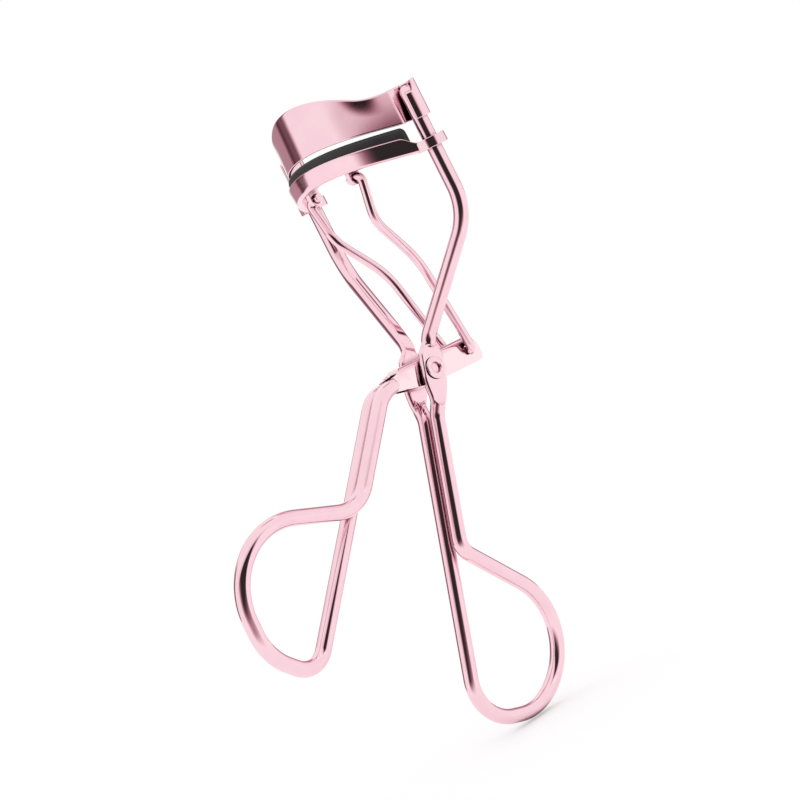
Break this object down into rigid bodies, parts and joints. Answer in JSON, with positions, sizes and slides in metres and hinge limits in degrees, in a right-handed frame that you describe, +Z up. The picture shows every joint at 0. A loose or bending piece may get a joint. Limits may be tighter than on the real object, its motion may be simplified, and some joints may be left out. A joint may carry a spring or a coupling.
{
  "type": "eyelash curler",
  "caption": "Hand-held eyelash curler: wire frame with finger rings, a pivoting lever, thrust wires and a sliding lower jaw with a soft pad under a fixed curved upper jaw.",
  "frame": {"origin": "centre of the hollow pivot rivet, on the plane of symmetry", "axes": "+X along the rivet, +Y towards the eye, +Z up along the guide rods towards the jaws"},
  "size_m": [0.0412, 0.0706, 0.1136],
  "materials": {
    "rose_chrome_wire": "rose-tinted polished chrome plate on steel wire",
    "rose_chrome_sheet": "rose-tinted polished chrome plate on stamped steel sheet",
    "silicone_pad": "matte charcoal silicone"
  },
  "bodies": {
    "frame": {"frame_wire": "rose_chrome_wire", "pivot_rivet": "rose_chrome_wire", "upper_jaw": "rose_chrome_sheet"},
    "lever": {"rocker_bracket": "rose_chrome_sheet", "lever_wire": "rose_chrome_wire"},
    "lower_jaw_slide": {"lower_jaw": "rose_chrome_sheet", "lash_pad": "silicone_pad"},
    "thrust_right": {"thrust_wire_right": "rose_chrome_wire"},
    "thrust_left": {"thrust_wire_left": "rose_chrome_wire"}
  },
  "joints": [
    {"name": "lever_pivot", "type": "hinge", "parent": "frame", "child": "lever", "pos_m": [0, 0, 0], "axis": [1, 0, 0], "range_deg": [-34, 2.2]},
    {"name": "jaw_slide", "type": "slide", "parent": "frame", "child": "lower_jaw_slide", "axis": [0, 0, 1], "range_m": [-0.0054, 0.0004]},
    {"name": "right_wire_hinge", "type": "hinge", "parent": "lower_jaw_slide", "child": "thrust_right", "pos_m": [0.006, 0.0008, 0.0357], "axis": [1, 0, 0], "range_deg": [-2.7, 0.3]},
    {"name": "left_wire_hinge", "type": "hinge", "parent": "lower_jaw_slide", "child": "thrust_left", "pos_m": [-0.006, 0.0008, 0.0357], "axis": [1, 0, 0], "range_deg": [-2.7, 0.3]}
  ],
  "couplings": [
    {"joint": "jaw_slide", "follows": "lever_pivot", "m_per_rad": 0.009},
    {"joint": "right_wire_hinge", "follows": "lever_pivot", "ratio": 0.076},
    {"joint": "left_wire_hinge", "follows": "lever_pivot", "ratio": 0.076}
  ]
}
